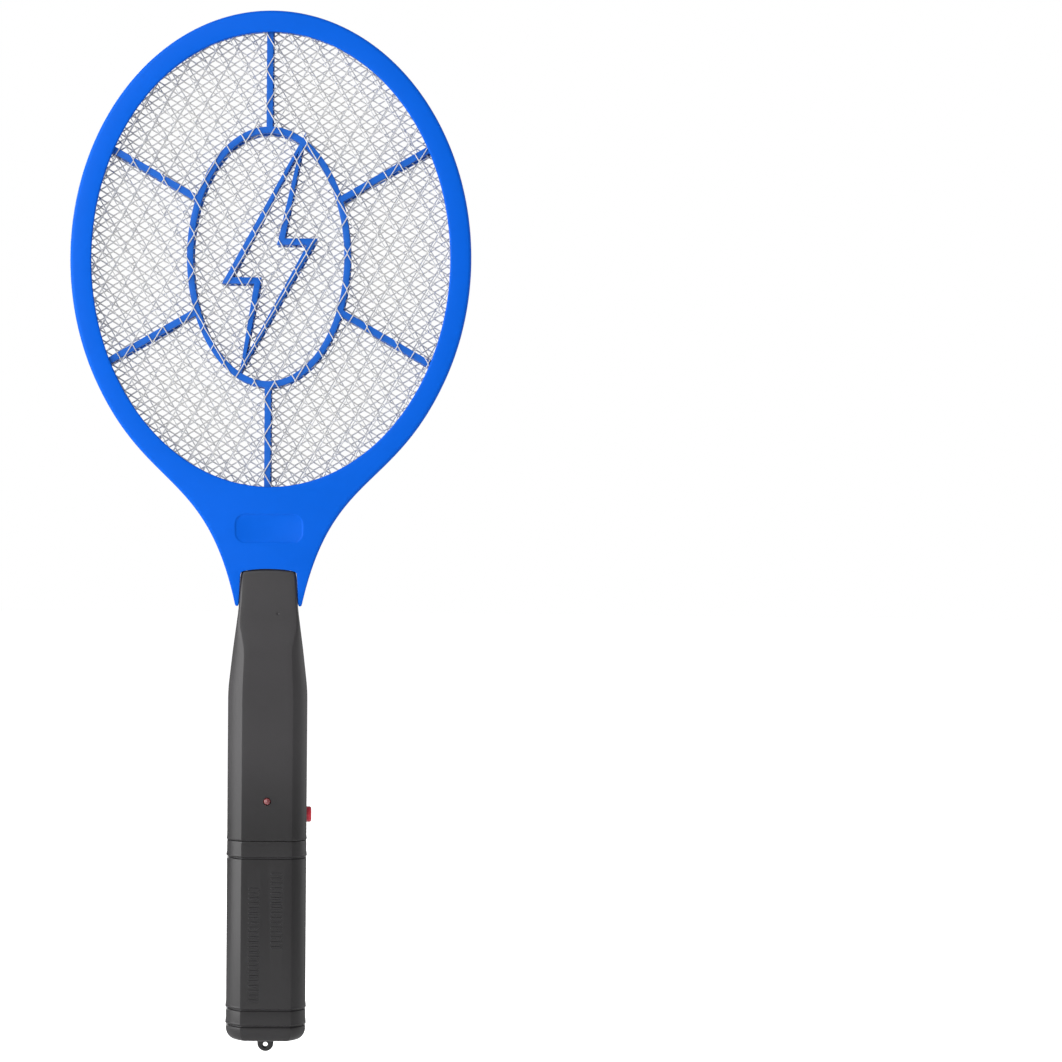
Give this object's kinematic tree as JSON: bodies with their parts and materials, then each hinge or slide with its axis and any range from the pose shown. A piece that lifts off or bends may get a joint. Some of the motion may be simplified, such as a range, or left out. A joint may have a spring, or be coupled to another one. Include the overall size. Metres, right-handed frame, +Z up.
{
  "type": "electric fly swatter",
  "caption": "Battery racket with stacked metal meshes in a plastic frame, a push button at the grip and a battery cover that slides off.",
  "frame": {"origin": "inside the handle, at the middle of the hand grip, half way between its front and rear faces", "axes": "+Z up along the handle towards the head, -Y out of the front face with the indicator light, +X out of the side with the push button"},
  "size_m": [0.1798, 0.0262, 0.4675],
  "materials": {
    "blue_plastic": "satin",
    "black_plastic": "fine satin",
    "loop_plastic": "glossy",
    "button_plastic": "satin",
    "mesh_metal": "bright rolled",
    "screw_steel": "zinc plated",
    "contact_steel": "nickel plated",
    "board_laminate": "satin",
    "ferrite": "matte",
    "winding_tape": "satin",
    "film_capacitor": "glossy",
    "capacitor_sleeve": "glossy",
    "moulded_epoxy": "matte",
    "resistor_body": "satin",
    "led_red": "clear tinted",
    "tray_plastic": "matte",
    "cell_jacket": "satin",
    "wire_red": "satin",
    "wire_black": "satin"
  },
  "bodies": {
    "swatter": {"head_front_frame": "blue_plastic", "head_rear_frame": "blue_plastic", "front_grille": "blue_plastic", "rear_grille": "blue_plastic", "front_mesh": "mesh_metal", "centre_mesh": "mesh_metal", "rear_mesh": "mesh_metal", "ring_screw_1": "screw_steel", "ring_screw_2": "screw_steel", "ring_screw_3": "screw_steel", "ring_screw_4": "screw_steel", "ring_screw_5": "screw_steel", "ring_screw_6": "screw_steel", "throat_screw_1": "screw_steel", "throat_screw_2": "screw_steel", "handle_screw_1": "screw_steel", "handle_screw_2": "screw_steel", "handle_front_shell": "black_plastic", "handle_rear_shell": "black_plastic", "switch_body": "moulded_epoxy", "circuit_board": "board_laminate", "transformer_core": "ferrite", "transformer_winding": "winding_tape", "storage_capacitor": "film_capacitor", "filter_capacitor": "capacitor_sleeve", "power_transistor": "moulded_epoxy", "rectifier_diode_1": "moulded_epoxy", "rectifier_diode_2": "moulded_epoxy", "rectifier_diode_3": "moulded_epoxy", "resistor_1": "resistor_body", "resistor_2": "resistor_body", "resistor_3": "resistor_body", "indicator_led": "led_red", "led_leg_1": "contact_steel", "led_leg_2": "contact_steel", "battery_tray": "tray_plastic", "battery_cell_left": "cell_jacket", "battery_cell_right": "cell_jacket", "positive_contact": "contact_steel", "negative_contact": "contact_steel", "bridge_contact": "contact_steel", "battery_spring_left": "contact_steel", "battery_spring_right": "contact_steel", "battery_lead_red": "wire_red", "battery_lead_black": "wire_black", "mesh_lead_front": "wire_black", "mesh_lead_centre": "wire_red", "mesh_lead_rear": "wire_black"},
    "button": {"push_button": "button_plastic", "switch_plunger": "moulded_epoxy"},
    "cover": {"battery_cover": "black_plastic", "hanging_loop": "loop_plastic"}
  },
  "joints": [
    {"name": "button_press", "type": "slide", "parent": "swatter", "child": "button", "axis": [-1, 0, 0], "range_m": [0, 0.0016], "stiffness_N_per_m": 900, "springref_m": -0.0008},
    {"name": "battery_cover_slide", "type": "slide", "parent": "swatter", "child": "cover", "axis": [0, 0, -1], "range_m": [0, 0.09]}
  ]
}
